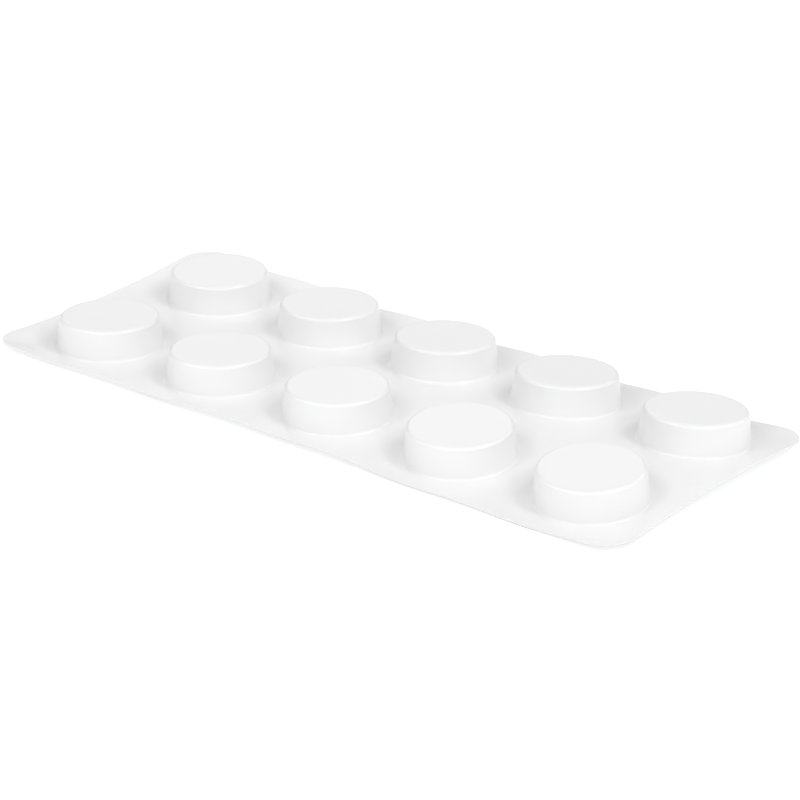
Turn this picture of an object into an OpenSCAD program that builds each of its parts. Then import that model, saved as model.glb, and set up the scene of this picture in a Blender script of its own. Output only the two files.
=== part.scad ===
// Blister strip of ten round tablets: a stiff formed film with a foil sealed under it, lying pockets up.
// X runs along the strip, Y across it, and Z is up from the surface that the strip lies on.
// The sealed strip is one solid. Its sheet is gently warped, and its pockets follow the warp.

/* [Sheet] */
// From the middle of an end pocket to the strip's end
end_margin = 12.6; // [11:0.1:20]
// From the middle of a pocket to the strip's long edge
side_margin = 11.4; // [10.5:0.1:20]
// Radius of the strip's four corners
corner_r = 5; // [2:0.5:9]
// Thickness of the film and the seal sheet together
sheet_t = 0.35; // [0.25:0.05:0.6]

/* [Pockets] */
// Number of pockets along the strip
columns = 5; // [1:1:8]
// Number of rows of pockets
rows = 2; // [1:1:3]
// Distance between pockets along the strip
pitch_x = 21; // [19.5:0.5:30]
// Distance between the rows
pitch_y = 23.4; // [19.5:0.1:30]
// How far the field of pockets sits to the right of the strip's middle
shift_x = 1.7; // [-2:0.1:2]
// How far the field of pockets sits towards the far edge, negative where it is nearer the near edge
shift_y = -1.1; // [-1.5:0.1:1.5]
// Height of a pocket above the sheet
pocket_h = 4.4; // [3:0.1:5.5]
// Radius of a pocket where its wall meets the rounded shoulder
pocket_r = 7.1; // [5:0.1:7.5]
// Lean of the pocket's wall, in degrees from upright
draft = 7.5; // [2:0.5:12]
// Radius of the rounded shoulder round the flat top
shoulder_r = 0.55; // [0.3:0.05:1]
// Radius of the hollow fillet at the pocket's foot
foot_r = 0.4; // [0.4:0.1:2]

/* [Warp] */
// Lift of the right end and drop of the left end, with which the strip rests on three places
right_lift = 1.08; // [-2:0.01:2]
// Lift of the far edge and drop of the near edge, for the same
far_lift = -0.11; // [-1:0.01:1]
// Drop of both long edges below the middle at the left end, negative where the sheet is dished
crown_left = -0.85; // [-1.5:0.05:2.5]
// Drop of both long edges below the middle at the right end
crown_right = 2.2; // [-1.5:0.1:2.5]
// Twist of the whole sheet, as the lift of its far right corner
twist = 0.25; // [-1:0.05:1]
// Lift of the far corner and drop of the near corner at the left end
left_twist = 0.95; // [-1.5:0.05:1.5]
// Lift of the far corner and drop of the near corner at the right end
right_twist = 0.35; // [-1.5:0.05:1.5]
// Drop of the middle of the right end
right_drop = 0.5; // [-1:0.1:1]
// Lift of both corners of the right end
right_dish = 0.85; // [-1:0.05:1]
// Depth of the pucker that each pocket draws into the long edges
ripple = 0.2; // [0:0.05:0.4]
// Height of the long wave in the near edge
wave = 0.3; // [0:0.05:0.5]
// Length of that wave
wave_l = 60; // [40:1:90]

/* [Hidden] */
$fn = 96;

half_l = (columns - 1) / 2 * pitch_x + end_margin;
half_w = (rows - 1) / 2 * pitch_y + side_margin;

// The curl of each end starts at this share of the half length
curl_from = 0.3;
// The pucker in the long edges is lowest this many degrees before each pocket
ripple_phase = 48;
// The long wave in the near edge is highest this many degrees before the middle pocket
wave_phase = 12;

// How far along one end's curl a place is, from 0 to 1 at the end
function curl(s) = pow(max(0, s - curl_from) / (1 - curl_from), 2);

// Height of the warped sheet over its own mean plane. The warp is centred on the field of pockets.
function warp(x, y) =
    let (
        along = x - shift_x,
        s = along / half_l,
        v = (y - shift_y) / half_w,
        crown = (crown_left + crown_right) / 2 + (crown_right - crown_left) / 2 * s,
        pucker = ripple * pow(abs(v), 3) * cos(360 * along / pitch_x + ripple_phase),
        near_wave = v < 0 ? wave * v * v * cos(360 * along / wave_l + wave_phase) : 0
    )
    right_lift * s
    + far_lift * v
    + twist * s * v
    - crown * v * v
    + left_twist * v * curl(-s)
    + (right_twist * v + right_dish * v * v - right_drop) * curl(s)
    - pucker
    + near_wave;

// The underside of the warped sheet touches z = 0 at its lowest place
outline_steps = 80;
function inside(x, y) =
    let (dx = max(0, abs(x) - half_l + corner_r), dy = max(0, abs(y) - half_w + corner_r))
    dx * dx + dy * dy <= corner_r * corner_r;
lowest = min([
    for (i = [0:outline_steps], j = [0:outline_steps])
        let (x = half_l * (2 * i / outline_steps - 1), y = half_w * (2 * j / outline_steps - 1))
        if (inside(x, y)) warp(x, y)
]);
rise = sheet_t - lowest;

// Half section of a pocket: flat top, rounded shoulder, leaning wall and hollow fillet.
// The fillet stops at foot_slope degrees and runs on straight, to end inside the sheet.
foot_slope = 18;
foot_dip = sheet_t / 2;
shoulder_centre_r = pocket_r - shoulder_r * cos(draft);
shoulder_z = pocket_h - shoulder_r;
wall_foot_r = pocket_r + (shoulder_z + shoulder_r * sin(draft)) * tan(draft);
foot_centre_r = wall_foot_r + foot_r * (1 / cos(draft) - tan(draft));
lip_r = foot_centre_r - foot_r * sin(foot_slope);
lip_z = foot_r * (1 - cos(foot_slope));
base_r = lip_r + (lip_z + foot_dip) / tan(foot_slope);

module pocket() {
    rotate_extrude()
        difference() {
            union() {
                translate([shoulder_centre_r, shoulder_z]) circle(r = shoulder_r);
                polygon([
                    [0, -foot_dip],
                    [0, pocket_h],
                    [shoulder_centre_r, pocket_h],
                    [pocket_r, shoulder_z + shoulder_r * sin(draft)],
                    [foot_centre_r - foot_r * cos(draft), foot_r * (1 - sin(draft))],
                    [lip_r, lip_z],
                    [base_r, -foot_dip]
                ]);
            }
            translate([foot_centre_r, foot_r]) circle(r = foot_r);
        }
}

// A pocket is stiff, so the sheet is flat round its foot, on a plane of its own
flat_over = 0.1;
flat_r = min(
    base_r + flat_over,
    pitch_x / 2 - flat_over,
    pitch_y / 2 - flat_over,
    end_margin - abs(shift_x) - flat_over,
    side_margin - abs(shift_y) - flat_over
);
function pocket_x(c) = shift_x + (c - (columns - 1) / 2) * pitch_x;
function pocket_y(r) = shift_y + (r - (rows - 1) / 2) * pitch_y;
function lean_x(x, y) = (warp(x + flat_r, y) - warp(x - flat_r, y)) / (2 * flat_r);
function lean_y(x, y) = (warp(x, y + flat_r) - warp(x, y - flat_r)) / (2 * flat_r);
level_r = 0.7 * flat_r;
function level(x, y) =
    (warp(x + level_r, y) + warp(x - level_r, y) + warp(x, y + level_r) + warp(x, y - level_r)) / 4;
function plane(c, r, dx, dy) =
    let (x = pocket_x(c), y = pocket_y(r))
    level(x, y) + lean_x(x, y) * dx + lean_y(x, y) * dy;

// The sheet is a patchwork of one cell round each pocket, with side_steps points to a side.
// It is drawn a little past the strip's outline and trimmed back to it.
side_steps = 6;
trim = 0.25;
across = columns * side_steps;
up = rows * side_steps;
function cell_x(c) = c == 0 ? -half_l - trim : c == columns ? half_l + trim : pocket_x(c) - pitch_x / 2;
function cell_y(r) = r == 0 ? -half_w - trim : r == rows ? half_w + trim : pocket_y(r) - pitch_y / 2;
function lattice_x(i) =
    let (c = min(floor(i / side_steps), columns - 1), share = i / side_steps - c)
    cell_x(c) + (cell_x(c + 1) - cell_x(c)) * share;
function lattice_y(j) =
    let (r = min(floor(j / side_steps), rows - 1), share = j / side_steps - r)
    cell_y(r) + (cell_y(r + 1) - cell_y(r)) * share;

// Lattice places round one cell, anticlockwise from its near left corner
function cell_ring(c, r) =
    let (n = side_steps, i = c * n, j = r * n)
    concat(
        [for (k = [0:n - 1]) [i + k, j]],
        [for (k = [0:n - 1]) [i + n, j + k]],
        [for (k = [0:n - 1]) [i + n - k, j + n]],
        [for (k = [0:n - 1]) [i, j + n - k]]
    );
// The point of the flat round a pocket that faces a lattice place
function flat_point(c, r, place) =
    let (
        dx = lattice_x(place[0]) - pocket_x(c),
        dy = lattice_y(place[1]) - pocket_y(r),
        d = flat_r / norm([dx, dy])
    )
    [pocket_x(c) + dx * d, pocket_y(r) + dy * d, rise + plane(c, r, dx * d, dy * d)];

module sheet() {
    ring = 4 * side_steps;
    cells = [for (r = [0:rows - 1], c = [0:columns - 1]) [c, r]];
    lattice = [for (j = [0:up], i = [0:across])
        let (x = lattice_x(i), y = lattice_y(j))
        [x, y, rise + warp(x, y)]];
    flats = [for (cell = cells, place = cell_ring(cell[0], cell[1])) flat_point(cell[0], cell[1], place)];
    top = concat(lattice, flats);
    points = concat(top, [for (p = top) [p[0], p[1], p[2] - sheet_t]]);
    under = len(top);
    function at(place) = place[1] * (across + 1) + place[0];
    function flat_at(k, m) = len(lattice) + k * ring + m % ring;
    bands = [for (k = [0:len(cells) - 1], m = [0:ring - 1])
        let (places = cell_ring(cells[k][0], cells[k][1]))
        [at(places[m]), at(places[(m + 1) % ring]), flat_at(k, m + 1), flat_at(k, m)]];
    top_faces = concat(
        [for (q = bands) each [[q[0], q[2], q[1]], [q[0], q[3], q[2]]]],
        [for (k = [0:len(cells) - 1]) [for (m = [ring - 1:-1:0]) flat_at(k, m)]]
    );
    under_faces = [for (f = top_faces) [for (m = [len(f) - 1:-1:0]) f[m] + under]];
    rim = concat(
        [for (i = [0:across - 1]) [i, 0]],
        [for (j = [0:up - 1]) [across, j]],
        [for (i = [across:-1:1]) [i, up]],
        [for (j = [up:-1:1]) [0, j]]
    );
    edge_faces = [for (m = [0:len(rim) - 1])
        let (a = at(rim[m]), b = at(rim[(m + 1) % len(rim)]))
        each [[a, b, b + under], [a, b + under, a + under]]];
    polyhedron(points = points, faces = concat(top_faces, under_faces, edge_faces), convexity = 6);
}

// The strip's outline, upright
module outline_block(low, high) {
    translate([0, 0, low])
        linear_extrude(height = high - low) {
            square([2 * (half_l - corner_r), 2 * half_w], center = true);
            square([2 * half_l, 2 * (half_w - corner_r)], center = true);
            for (sx = [-1, 1], sy = [-1, 1])
                translate([sx * (half_l - corner_r), sy * (half_w - corner_r)]) circle(r = corner_r);
        }
}

// Every pocket stands square to the flat round its foot
module pockets() {
    for (c = [0:columns - 1], r = [0:rows - 1]) {
        x = pocket_x(c);
        y = pocket_y(r);
        gx = lean_x(x, y);
        gy = lean_y(x, y);
        translate([x, y, rise + level(x, y)])
            rotate([atan(gy / sqrt(1 + gx * gx)), -atan(gx), 0])
                pocket();
    }
}

module blister_strip() {
    color("whitesmoke")
        intersection() {
            outline_block(-1, rise + 2 * pocket_h);
            union() {
                sheet();
                pockets();
            }
        }
}

blister_strip();
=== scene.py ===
import math

import bmesh
import bpy
from mathutils import Matrix, Quaternion, Vector


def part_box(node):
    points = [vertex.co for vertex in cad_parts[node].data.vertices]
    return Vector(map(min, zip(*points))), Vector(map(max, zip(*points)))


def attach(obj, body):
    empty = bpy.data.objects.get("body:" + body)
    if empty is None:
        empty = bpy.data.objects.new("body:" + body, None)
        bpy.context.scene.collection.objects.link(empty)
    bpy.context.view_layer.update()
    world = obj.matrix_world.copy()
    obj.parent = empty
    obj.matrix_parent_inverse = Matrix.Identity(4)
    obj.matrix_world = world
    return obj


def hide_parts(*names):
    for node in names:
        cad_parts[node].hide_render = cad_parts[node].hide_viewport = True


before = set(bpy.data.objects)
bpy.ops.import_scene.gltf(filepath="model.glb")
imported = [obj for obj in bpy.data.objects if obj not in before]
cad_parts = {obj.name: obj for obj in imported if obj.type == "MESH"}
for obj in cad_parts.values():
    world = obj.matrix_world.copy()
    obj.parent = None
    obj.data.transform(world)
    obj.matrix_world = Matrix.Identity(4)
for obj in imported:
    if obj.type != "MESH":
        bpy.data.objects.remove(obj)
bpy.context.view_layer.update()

mm = 0.001
stripLow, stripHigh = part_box("blister_strip")

# The strip's layout, the same sizes as the CAD model's
layout = {
    "columns": 5,
    "rows": 2,
    "pitchX": 21 * mm,
    "pitchY": 23.4 * mm,
    "shiftX": 1.7 * mm,  # the field of pockets sits off the strip's middle, to the right and near
    "shiftY": -1.1 * mm,
    "halfL": (stripHigh.x - stripLow.x) / 2,
    "halfW": (stripHigh.y - stripLow.y) / 2,
    "cornerR": 5 * mm,
    "sheetT": 0.35 * mm,  # film and foil together
    "restEase": 0.01 * mm,  # keeps the pockets' tops within the CAD model's height
    "edgeEase": 0.04 * mm,  # cut this much short, because the sheet's cut edge leans where the sheet does
}

# How the sheet is warped, as heights, from the middle of the field of pockets
bend = {
    "rightLift": 1.08 * mm,  # with the far edge's, rests the strip on three places
    "farLift": -0.11 * mm,
    "crownLeft": -0.85 * mm,
    "crownRight": 2.2 * mm,
    "twist": 0.25 * mm,
    "leftTwist": 0.95 * mm,
    "rightTwist": 0.35 * mm,
    "rightDrop": 0.5 * mm,
    "rightDish": 0.85 * mm,
    "pucker": 0.2 * mm,
    "puckerPhase": math.radians(48),
    "wave": 0.3 * mm,
    "waveLength": 60 * mm,
    "wavePhase": math.radians(12),
    "curlFrom": 0.3,  # each end's curl starts at this share of the half length
}


def curl(s):
    return (max(0, s - bend["curlFrom"]) / (1 - bend["curlFrom"])) ** 2


def warp(x, y):
    along = x - layout["shiftX"]
    s = along / layout["halfL"]
    v = (y - layout["shiftY"]) / layout["halfW"]
    crownMiddle = (bend["crownLeft"] + bend["crownRight"]) / 2
    crown = crownMiddle + (bend["crownRight"] - bend["crownLeft"]) / 2 * s
    turn = 2 * math.pi * along
    pucker = bend["pucker"] * abs(v) ** 3 * math.cos(turn / layout["pitchX"] + bend["puckerPhase"])
    nearWave = 0
    if v < 0:
        nearWave = bend["wave"] * v * v * math.cos(turn / bend["waveLength"] + bend["wavePhase"])
    leftEnd = bend["leftTwist"] * v * curl(-s)
    rightEnd = (bend["rightTwist"] * v + bend["rightDish"] * v * v - bend["rightDrop"]) * curl(s)
    lean = bend["rightLift"] * s + bend["farLift"] * v
    return lean + bend["twist"] * s * v - crown * v * v + leftEnd + rightEnd - pucker + nearWave


def insideOutline(x, y):
    dx = max(0, abs(x) - layout["halfL"] + layout["cornerR"])
    dy = max(0, abs(y) - layout["halfW"] + layout["cornerR"])
    return math.hypot(dx, dy) <= layout["cornerR"]


def lowestWarp(steps=80):
    spots = []
    for i in range(steps + 1):
        for j in range(steps + 1):
            x = layout["halfL"] * (2 * i / steps - 1)
            y = layout["halfW"] * (2 * j / steps - 1)
            if insideOutline(x, y):
                spots.append(warp(x, y))
    return min(spots)


# The lowest place of the underside touches the floor
rise = layout["sheetT"] - layout["restEase"] - lowestWarp()

# A pocket's section
pocket = {
    "height": 4.4 * mm,
    "radius": 7.1 * mm,  # where the wall meets the rounded shoulder
    "draft": math.radians(7.5),
    "shoulder": 0.55 * mm,
    "fillet": 0.4 * mm,
    "flatR": 8.54 * mm,  # the sheet is flat up to here, on the pocket's own plane
    "levelShare": 0.7,  # the plane's height is the warp's mean at this share of flatR
    "points": 96,  # divisible by 4, so that a quarter of them fits each side of a cell
    "shoulderSteps": 7,
    "filletSteps": 6,
    "rimHold": 0.12 * mm,  # a narrow ring that keeps the flat top's shading flat
    "topRings": 4,
    "bandRows": 5,
}
draftTan = math.tan(pocket["draft"])
shoulderTop = pocket["height"] - pocket["shoulder"] * (1 - math.sin(pocket["draft"]))
wallFootR = pocket["radius"] + shoulderTop * draftTan
wallTopR = wallFootR - pocket["height"] * draftTan
# A bevel's offset is the arc's tangent length
tangent = 1 / math.tan(math.radians(45) + pocket["draft"] / 2)

# Edges that turn less than this are shaded smooth
smoothAngle = math.radians(35)


def pocketCentre(column, row):
    x = layout["shiftX"] + (column - (layout["columns"] - 1) / 2) * layout["pitchX"]
    y = layout["shiftY"] + (row - (layout["rows"] - 1) / 2) * layout["pitchY"]
    return x, y


def pocketPlane(x, y):
    r = pocket["flatR"]
    leanX = (warp(x + r, y) - warp(x - r, y)) / (2 * r)
    leanY = (warp(x, y + r) - warp(x, y - r)) / (2 * r)
    q = pocket["levelShare"] * r
    level = (warp(x + q, y) + warp(x - q, y) + warp(x, y + q) + warp(x, y - q)) / 4
    return level, leanX, leanY


def nearestPocket(x, y):
    column = round((x - layout["shiftX"]) / layout["pitchX"] + (layout["columns"] - 1) / 2)
    row = round((y - layout["shiftY"]) / layout["pitchY"] + (layout["rows"] - 1) / 2)
    return min(max(column, 0), layout["columns"] - 1), min(max(row, 0), layout["rows"] - 1)


def cellReach(column, row, dx, dy):
    # How far a cell reaches from its pocket's middle, in one direction. The outer cells reach the outline.
    cx, cy = pocketCentre(column, row)
    toX, toY = layout["pitchX"] / 2, layout["pitchY"] / 2
    if column == (0 if dx < 0 else layout["columns"] - 1):
        toX = layout["halfL"] - abs(cx)
    if row == (0 if dy < 0 else layout["rows"] - 1):
        toY = layout["halfW"] - abs(cy)
    return min(toX / max(abs(dx), 1e-9), toY / max(abs(dy), 1e-9)) * math.hypot(dx, dy)


def settle(co):
    # Moves a point of the flat strip to its place on the warped one
    column, row = nearestPocket(co.x, co.y)
    cx, cy = pocketCentre(column, row)
    level, leanX, leanY = pocketPlane(cx, cy)
    dx, dy = co.x - cx, co.y - cy
    d = math.hypot(dx, dy)
    tilt = Matrix.Rotation(-math.atan(leanX), 3, "Y")
    tilt = tilt @ Matrix.Rotation(math.atan(leanY / math.sqrt(1 + leanX * leanX)), 3, "X")
    lift = tilt @ Vector((0, 0, co.z))
    planeZ = level + leanX * dx + leanY * dy
    if d <= pocket["flatR"]:
        return Vector((co.x + lift.x, co.y + lift.y, rise + planeZ + lift.z))
    # The flat runs out into the warped sheet towards the edge of the pocket's cell
    reach = cellReach(column, row, dx, dy)
    t = min((d - pocket["flatR"]) / (reach - pocket["flatR"]), 1)
    t = t * t * (3 - 2 * t)
    return Vector((co.x, co.y, rise + planeZ * (1 - t) + warp(co.x, co.y) * t + co.z))


def pick(obj, test):
    # Selects, in edit mode, the vertices where test is true, with the edges and faces between them
    bpy.ops.mesh.select_mode(type="VERT")
    bpy.ops.mesh.select_all(action="DESELECT")
    bm = bmesh.from_edit_mesh(obj.data)
    for v in bm.verts:
        v.select = test(v.co)
    bm.select_flush(True)
    bmesh.update_edit_mesh(obj.data)


def near(a, b, tolerance=0.005 * mm):
    return abs(a - b) < tolerance


def onRing(radius, z):
    return lambda co: near(math.hypot(co.x, co.y), radius) and near(co.z, z)


def lengthenEdges(obj):
    # Pulls the outer sides of the cells out to a little past the strip's outline
    overrun = 0.5 * mm
    steps = 3
    sides = ((0, layout["shiftX"], layout["columns"] * layout["pitchX"] / 2, layout["halfL"]),
             (1, layout["shiftY"], layout["rows"] * layout["pitchY"] / 2, layout["halfW"]))
    bpy.ops.object.mode_set(mode="EDIT")
    for axis, shift, fieldHalf, stripHalf in sides:
        for side in (-1, 1):
            edge = shift + side * fieldHalf
            pull = side * (stripHalf + overrun) - edge
            if side * pull <= 0:
                continue
            step = [0, 0, 0]
            step[axis] = pull / steps
            for i in range(steps):
                pick(obj, lambda co: near(co[axis], edge + pull * i / steps))
                bpy.ops.mesh.extrude_edges_move(TRANSFORM_OT_translate={"value": step})


def trimOutline(obj):
    # Cuts the sheet to its outline: two long sides, two ends and four round corners
    cornerCuts = 10
    cutSnap, mergeWithin = 0.001 * mm, 0.002 * mm
    halfL = layout["halfL"] - layout["edgeEase"]
    halfW = layout["halfW"] - layout["edgeEase"]
    cuts = [((halfL, 0), 0), ((0, halfW), 90), ((-halfL, 0), 180), ((0, -halfW), 270)]
    for quarter in range(4):
        sx = 1 if quarter in (0, 3) else -1
        sy = 1 if quarter in (0, 1) else -1
        for i in range(cornerCuts):
            angle = 90 * quarter + 90 * (i + 0.5) / cornerCuts
            a = math.radians(angle)
            out = layout["cornerR"] * math.cos(math.radians(45 / cornerCuts))
            x = sx * (halfL - layout["cornerR"]) + out * math.cos(a)
            y = sy * (halfW - layout["cornerR"]) + out * math.sin(a)
            cuts.append(((x, y), angle))
    for (x, y), angle in cuts:
        a = math.radians(angle)
        bpy.ops.mesh.select_all(action="SELECT")
        bpy.ops.mesh.bisect(plane_co=(x, y, 0), plane_no=(math.cos(a), math.sin(a), 0), clear_outer=True,
                            threshold=cutSnap)
    bpy.ops.mesh.select_all(action="SELECT")
    bpy.ops.mesh.remove_doubles(threshold=mergeWithin)
    bpy.ops.mesh.normals_make_consistent(inside=False)
    bpy.ops.object.mode_set(mode="OBJECT")
    if obj.data.polygons[0].normal.z < 0:
        obj.data.flip_normals()


def startDisc(name):
    # One cell's round middle, a flat disc. repeatCell moves it to the first pocket's place.
    bpy.ops.object.select_all(action="DESELECT")
    bpy.ops.mesh.primitive_circle_add(vertices=pocket["points"], radius=pocket["flatR"], fill_type="NGON")
    disc = bpy.context.object
    disc.name = name
    return disc


def addCellEdge(disc):
    # The cell's rectangle, bridged to the disc
    bpy.ops.object.mode_set(mode="OBJECT")
    bpy.ops.object.select_all(action="DESELECT")
    bpy.ops.mesh.primitive_plane_add(size=1)
    rectangle = bpy.context.object
    bpy.ops.object.mode_set(mode="EDIT")
    bpy.ops.mesh.select_all(action="SELECT")
    bpy.ops.transform.resize(value=(layout["pitchX"], layout["pitchY"], 1))
    bpy.ops.mesh.delete(type="ONLY_FACE")
    bpy.ops.mesh.select_all(action="SELECT")
    bpy.ops.mesh.subdivide(number_cuts=pocket["points"] // 4 - 1)
    bpy.ops.object.mode_set(mode="OBJECT")
    disc.select_set(True)
    bpy.context.view_layer.objects.active = disc
    bpy.ops.object.join()
    bpy.ops.object.mode_set(mode="EDIT")
    rim = onRing(pocket["flatR"], 0)
    pick(disc, lambda co: rim(co) or near(abs(co.x), layout["pitchX"] / 2)
         or near(abs(co.y), layout["pitchY"] / 2))
    bpy.ops.mesh.bridge_edge_loops(number_cuts=pocket["bandRows"], interpolation="LINEAR")
    bpy.ops.mesh.select_all(action="SELECT")
    bpy.ops.mesh.normals_make_consistent(inside=False)
    bpy.ops.object.mode_set(mode="OBJECT")


def repeatCell(obj):
    # Moves the cell to the near left pocket's place and repeats it along and across
    x, y = pocketCentre(0, 0)
    obj.location = (x, y, 0)
    bpy.ops.object.transform_apply(location=True, rotation=True, scale=True)
    for count, offset in ((layout["columns"], (layout["pitchX"], 0, 0)),
                          (layout["rows"], (0, layout["pitchY"], 0))):
        array = obj.modifiers.new("Array", "ARRAY")
        array.count = count
        array.use_relative_offset = False
        array.use_constant_offset = True
        array.constant_offset_displace = offset
        array.use_merge_vertices = True
        array.merge_threshold = 0.003 * mm
        bpy.ops.object.modifier_apply(modifier=array.name)


def moveAll(obj, move):
    for v in obj.data.vertices:
        v.co = move(v.co)
    obj.data.update()


def thicken(obj, thickness):
    solidify = obj.modifiers.new("Solidify", "SOLIDIFY")
    solidify.thickness = thickness
    solidify.offset = -1
    solidify.use_even_offset = True
    bpy.ops.object.modifier_apply(modifier=solidify.name)


# Colours are sRGB hex values
def linear(hexColour):
    parts = [int(hexColour[i:i + 2], 16) / 255 for i in (1, 3, 5)]
    return tuple(c / 12.92 if c <= 0.04045 else ((c + 0.055) / 1.055) ** 2.4 for c in parts) + (1,)


def addNode(tree, kind, values=None, links=None, **settings):
    # Adds a node, sets its settings and socket values, and links sockets to it
    node = tree.nodes.new(kind)
    for key, value in settings.items():
        setattr(node, key, value)
    for key, value in (values or {}).items():
        node.inputs[key].default_value = value
    for key, source in (links or {}).items():
        tree.links.new(source, node.inputs[key])
    return node


def startMaterial(name):
    material = bpy.data.materials.new(name)
    material.use_nodes = True
    tree = material.node_tree
    tree.nodes.clear()
    place = addNode(tree, "ShaderNodeTexCoord").outputs["Object"]
    return material, tree, place


# The film is rigid PVC sheet filled with titanium dioxide, heated and blown into its pockets.
# To the eye it is a neutral opaque white with a soft gloss that wavers a little where it was drawn.
filmLook = {
    "white": "#e6e6e6",
    "cloud": "#e5e5e5",  # slight unevenness of the white
    "cloudSize": 14 * mm,
    "cloudRange": (0.35, 0.65),  # the noise's values where it is all cloud and all white
    "ior": 1.53,
    "gloss": (0.27, 0.31),  # roughness from the shiniest to the dullest place
    "waverSize": 5 * mm,  # long waver left by forming and sealing
    "waverDepth": 0.006 * mm,
    "grainSize": 0.35 * mm,  # calendered surface, drawn coarser than it is so that it shows
    "grainDepth": 0.0006 * mm,
}


def makeFilmMaterial():
    material, tree, place = startMaterial("white_pvc_film")
    cloud = addNode(tree, "ShaderNodeTexNoise", {"Scale": 1 / filmLook["cloudSize"], "Detail": 3},
                    {"Vector": place})
    ramp = addNode(tree, "ShaderNodeValToRGB", links={"Fac": cloud.outputs["Fac"]})
    for stop, position, colour in zip(ramp.color_ramp.elements, filmLook["cloudRange"], ("cloud", "white")):
        stop.position = position
        stop.color = linear(filmLook[colour])
    gloss = addNode(tree, "ShaderNodeMapRange",
                    {"To Min": filmLook["gloss"][0], "To Max": filmLook["gloss"][1]},
                    {"Value": cloud.outputs["Fac"]})
    waver = addNode(tree, "ShaderNodeTexNoise", {"Scale": 1 / filmLook["waverSize"], "Detail": 1},
                    {"Vector": place})
    grain = addNode(tree, "ShaderNodeTexNoise", {"Scale": 1 / filmLook["grainSize"], "Detail": 2},
                    {"Vector": place})
    waverBump = addNode(tree, "ShaderNodeBump", {"Distance": filmLook["waverDepth"]},
                        {"Height": waver.outputs["Fac"]})
    grainBump = addNode(tree, "ShaderNodeBump", {"Distance": filmLook["grainDepth"]},
                        {"Height": grain.outputs["Fac"], "Normal": waverBump.outputs["Normal"]})
    shader = addNode(tree, "ShaderNodeBsdfPrincipled", {"IOR": filmLook["ior"]},
                     {"Base Color": ramp.outputs["Color"], "Roughness": gloss.outputs["Result"],
                      "Normal": grainBump.outputs["Normal"]})
    addNode(tree, "ShaderNodeOutputMaterial", links={"Surface": shader.outputs["BSDF"]})
    return material


# The lidding is rolled aluminium foil, heat sealed under the film by a knurled plate.
# To the eye it is a soft bright metal: a fine waffle where it is sealed, smooth under each pocket.
foilLook = {
    "metal": "#dcdddf",
    "roughness": (0.3, 0.42),
    "knurlPitch": 0.9 * mm,
    "knurlDepth": 0.05 * mm,
    "rollSpacing": 0.25 * mm,  # rolling lines along the strip
    "rollStretch": (0.02, 1, 1),  # draws the noise out along X into lines
    "rollDepth": 0.0015 * mm,
    "crinkleSize": 4 * mm,
    "crinkleDepth": 0.03 * mm,
    "freeR": 8.4 * mm,  # the seal stops here, round each pocket
    "fade": 0.25 * mm,
}


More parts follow.
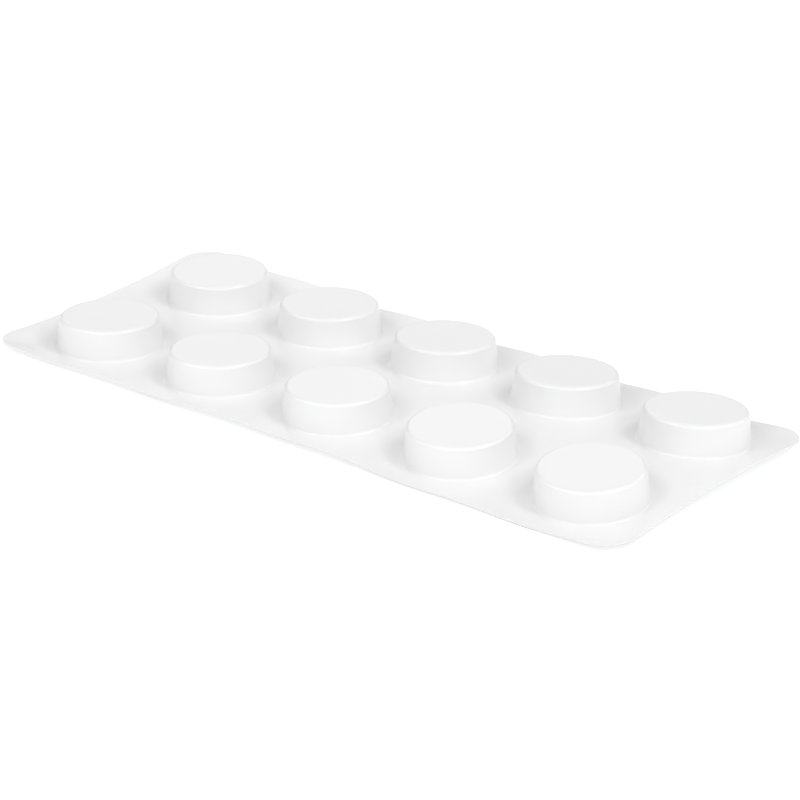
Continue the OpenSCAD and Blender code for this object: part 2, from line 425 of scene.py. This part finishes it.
def makeFoilMaterial():
    material, tree, place = startMaterial("rolled_aluminium_foil")
    spot = addNode(tree, "ShaderNodeSeparateXYZ", links={"Vector": place})
    offPocket = []
    for axis, shift, pitch, cells in (("X", layout["shiftX"], layout["pitchX"], layout["columns"]),
                                      ("Y", layout["shiftY"], layout["pitchY"], layout["rows"])):
        first = shift - (cells - 1) / 2 * pitch
        inCell = addNode(tree, "ShaderNodeMath", {1: first + pitch / 2, 2: first - pitch / 2},
                         {0: spot.outputs[axis]}, operation="WRAP")
        offPocket.append(addNode(tree, "ShaderNodeMath", {1: first}, {0: inCell.outputs[0]},
                                 operation="SUBTRACT").outputs[0])
    offCentre = addNode(tree, "ShaderNodeCombineXYZ", links={"X": offPocket[0], "Y": offPocket[1]})
    distance = addNode(tree, "ShaderNodeVectorMath", links={0: offCentre.outputs[0]}, operation="LENGTH")
    sealed = addNode(tree, "ShaderNodeMapRange",
                     {"From Min": foilLook["freeR"], "From Max": foilLook["freeR"] + foilLook["fade"]},
                     {"Value": distance.outputs["Value"]}, interpolation_type="SMOOTHSTEP")
    waves = []
    for axis in ("X", "Y"):
        turn = addNode(tree, "ShaderNodeMath", {1: 2 * math.pi / foilLook["knurlPitch"]},
                       {0: spot.outputs[axis]}, operation="MULTIPLY")
        waves.append(addNode(tree, "ShaderNodeMath", links={0: turn.outputs[0]}, operation="SINE"))
    knurl = addNode(tree, "ShaderNodeMath", links={0: waves[0].outputs[0], 1: waves[1].outputs[0]},
                    operation="MULTIPLY")
    sealKnurl = addNode(tree, "ShaderNodeMath", links={0: knurl.outputs[0], 1: sealed.outputs["Result"]},
                        operation="MULTIPLY")
    stretch = addNode(tree, "ShaderNodeMapping", {"Scale": foilLook["rollStretch"]}, {"Vector": place})
    roll = addNode(tree, "ShaderNodeTexNoise", {"Scale": 1 / foilLook["rollSpacing"], "Detail": 2},
                   {"Vector": stretch.outputs["Vector"]})
    crinkle = addNode(tree, "ShaderNodeTexNoise", {"Scale": 1 / foilLook["crinkleSize"], "Detail": 2},
                      {"Vector": place})
    crinkleBump = addNode(tree, "ShaderNodeBump", {"Distance": foilLook["crinkleDepth"]},
                          {"Height": crinkle.outputs["Fac"]})
    rollBump = addNode(tree, "ShaderNodeBump", {"Distance": foilLook["rollDepth"]},
                       {"Height": roll.outputs["Fac"], "Normal": crinkleBump.outputs["Normal"]})
    # Half the depth, because the knurl runs from -1 to 1
    knurlBump = addNode(tree, "ShaderNodeBump", {"Distance": foilLook["knurlDepth"] / 2},
                        {"Height": sealKnurl.outputs[0], "Normal": rollBump.outputs["Normal"]})
    rough = addNode(tree, "ShaderNodeMapRange",
                    {"To Min": foilLook["roughness"][0], "To Max": foilLook["roughness"][1]},
                    {"Value": roll.outputs["Fac"]})
    shader = addNode(tree, "ShaderNodeBsdfPrincipled",
                     {"Base Color": linear(foilLook["metal"]), "Metallic": 1},
                     {"Roughness": rough.outputs["Result"], "Normal": knurlBump.outputs["Normal"]})
    addNode(tree, "ShaderNodeOutputMaterial", links={"Surface": shader.outputs["BSDF"]})
    return material


# The formed film
film = {
    "thickness": 0.25 * mm,
    "topDish": 0.03 * mm,  # the flat tops are drawn in a little over the tablets
}


def raisePocket(disc):
    # The disc's middle is raised into a pocket, and its edges are rounded
    bpy.ops.object.mode_set(mode="EDIT")
    bpy.ops.mesh.select_all(action="SELECT")
    bpy.ops.mesh.inset(thickness=pocket["flatR"] - wallFootR, depth=0)
    bpy.ops.mesh.extrude_region_move(TRANSFORM_OT_translate={"value": (0, 0, pocket["height"])})
    shrink = wallTopR / wallFootR
    bpy.ops.transform.resize(value=(shrink, shrink, 1))
    pick(disc, onRing(wallTopR, pocket["height"]))
    bpy.ops.mesh.bevel(offset=pocket["shoulder"] * tangent, offset_type="OFFSET",
                       segments=pocket["shoulderSteps"], profile=0.5, affect="EDGES")
    pick(disc, onRing(wallFootR, 0))
    bpy.ops.mesh.bevel(offset=pocket["fillet"] * tangent, offset_type="OFFSET",
                       segments=pocket["filletSteps"], profile=0.5, affect="EDGES")
    # Rings in the flat top
    topR = wallTopR - pocket["shoulder"] * tangent
    pick(disc, lambda co: near(co.z, pocket["height"]) and math.hypot(co.x, co.y) < topR + 0.01 * mm)
    bpy.ops.mesh.inset(thickness=pocket["rimHold"], depth=0)
    ringStep = (topR - pocket["rimHold"]) / (pocket["topRings"] + 0.5)
    for _ in range(pocket["topRings"]):
        bpy.ops.mesh.inset(thickness=ringStep, depth=0)
    bpy.ops.object.mode_set(mode="OBJECT")

    def dish(co):
        r = math.hypot(co.x, co.y)
        if not near(co.z, pocket["height"]) or r > topR:
            return co
        return co - Vector((0, 0, film["topDish"] * (1 - (r / topR) ** 2) ** 2))

    moveAll(disc, dish)


def makeFilm():
    sheet = startDisc("formed_film")
    raisePocket(sheet)
    addCellEdge(sheet)
    repeatCell(sheet)
    lengthenEdges(sheet)
    trimOutline(sheet)
    moveAll(sheet, settle)
    thicken(sheet, film["thickness"])
    bpy.ops.object.shade_smooth_by_angle(angle=smoothAngle)
    sheet.data.materials.append(makeFilmMaterial())
    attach(sheet, "root")
    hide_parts("blister_strip")
    print("film", len(sheet.data.polygons), "faces")


# The foil under it
foil = {
    "thickness": 0.045 * mm,
    "sealGap": 0.004 * mm,  # keeps the two faces apart where they are sealed
    "freeR": foilLook["freeR"],
    "stepIn": 0.5 * mm,
    "rings": 4,
    "drawnIn": 0.06 * mm,  # the foil is drawn up a little into each pocket
}


def makeFoil():
    sheet = startDisc("lidding_foil")
    bpy.ops.object.mode_set(mode="EDIT")
    bpy.ops.mesh.select_all(action="SELECT")
    bpy.ops.mesh.inset(thickness=pocket["flatR"] - foil["freeR"], depth=0)
    bpy.ops.mesh.inset(thickness=foil["stepIn"], depth=0)
    bpy.ops.transform.translate(value=(0, 0, foil["drawnIn"]))
    ringStep = (foil["freeR"] - foil["stepIn"]) / (foil["rings"] + 0.5)
    for _ in range(foil["rings"]):
        bpy.ops.mesh.inset(thickness=ringStep, depth=0)
    bpy.ops.object.mode_set(mode="OBJECT")
    addCellEdge(sheet)
    repeatCell(sheet)
    lengthenEdges(sheet)
    trimOutline(sheet)
    drop = film["thickness"] + foil["sealGap"]
    moveAll(sheet, lambda co: settle(co) - Vector((0, 0, drop)))
    thicken(sheet, foil["thickness"])
    bpy.ops.object.shade_smooth_by_angle(angle=smoothAngle)
    sheet.data.materials.append(makeFoilMaterial())
    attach(sheet, "root")
    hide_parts("blister_strip")
    print("foil", len(sheet.data.polygons), "faces")


# The studio
studio = {
    "floorHalf": 3.0,
    "floorColour": "#a8a8a8",
    "floorRoughness": 0.9,
    "floorGlowColour": "#ffffff",
    "floorGlow": 0.68,  # a table lit from below, so that it is white and hardly a shadow shows
    "skyColour": "#ffffff",
    "skyStrength": 0.41,
    "target": (5.34 * mm, -3.87 * mm),
    "targetLift": 0.09 * mm,  # the leaning sheet's height there
    "azimuth": 38.36,
    "elevation": 22.85,
    "roll": 0.78,
    "distance": 0.4377,
    "lens": 144.6,
    "sensorWidth": 36,
    "clipStart": 0.01,
}
# Soft boxes: azimuth, elevation, distance, width, height, watts
softBoxes = {
    "key_right": (91, 43, 1.6, 0.28, 0.28, 3.9),
    "key_right_high": (105, 58, 1.6, 0.30, 0.30, 2.9),
    "key_left": (-14, 42, 1.6, 0.25, 0.25, 1.4),
    "key_left_high": (-24, 53, 1.6, 0.30, 0.30, 2.9),
    "fill_front": (38, 36, 1.6, 2.0, 1.2, 10.9),
    "fill_low": (38, 12, 1.6, 1.4, 0.3, 0.5),
    "fill_left": (-50, 35, 1.6, 0.7, 0.7, 3.2),
    "fill_right": (128, 35, 1.6, 0.7, 0.7, 2.0),
    "back_right": (160, 25, 1.6, 0.7, 0.5, 2.7),
    "back_middle": (218, 27, 1.6, 0.9, 0.6, 1.5),
    "back_left": (280, 25, 1.6, 0.7, 0.5, 0.7),
}


def backVector(azimuth, elevation):
    a, e = math.radians(azimuth), math.radians(elevation)
    return Vector((math.sin(a) * math.cos(e), -math.cos(a) * math.cos(e), math.sin(e)))


def makeStudio():
    scene = bpy.context.scene
    bpy.ops.object.select_all(action="DESELECT")
    bpy.ops.mesh.primitive_plane_add(size=2 * studio["floorHalf"])
    floor = bpy.context.object
    floor.name = "floor"
    material = bpy.data.materials.new("pale_floor")
    material.use_nodes = True
    shader = material.node_tree.nodes["Principled BSDF"]
    shader.inputs["Base Color"].default_value = linear(studio["floorColour"])
    shader.inputs["Roughness"].default_value = studio["floorRoughness"]
    shader.inputs["Specular IOR Level"].default_value = 0
    shader.inputs["Emission Color"].default_value = linear(studio["floorGlowColour"])
    shader.inputs["Emission Strength"].default_value = studio["floorGlow"]
    floor.data.materials.append(material)

    world = bpy.data.worlds.new("sky")
    world.use_nodes = True
    sky = world.node_tree.nodes["Background"]
    sky.inputs["Color"].default_value = linear(studio["skyColour"])
    sky.inputs["Strength"].default_value = studio["skyStrength"]
    scene.world = world

    target = Vector((*studio["target"], rise + studio["targetLift"]))
    for name, (azimuth, elevation, distance, width, height, watts) in softBoxes.items():
        light = bpy.data.lights.new(name, "AREA")
        light.shape = "RECTANGLE"
        light.size, light.size_y = width, height
        light.energy = watts
        lamp = bpy.data.objects.new(name, light)
        scene.collection.objects.link(lamp)
        back = backVector(azimuth, elevation)
        lamp.location = target + back * distance
        lamp.rotation_euler = (-back).to_track_quat("-Z", "Y").to_euler()

    camera = bpy.data.cameras.new("camera")
    camera.lens = studio["lens"]
    camera.sensor_width = studio["sensorWidth"]
    camera.clip_start = studio["clipStart"]
    stand = bpy.data.objects.new("camera", camera)
    scene.collection.objects.link(stand)
    back = backVector(studio["azimuth"], studio["elevation"])
    stand.location = target + back * studio["distance"]
    roll = Quaternion((0, 0, 1), math.radians(studio["roll"]))
    stand.rotation_euler = ((-back).to_track_quat("-Z", "Y") @ roll).to_euler()
    scene.camera = stand
    scene.view_settings.view_transform = "Standard"
    print("studio ready")


makeStudio()
makeFilm()
makeFoil()
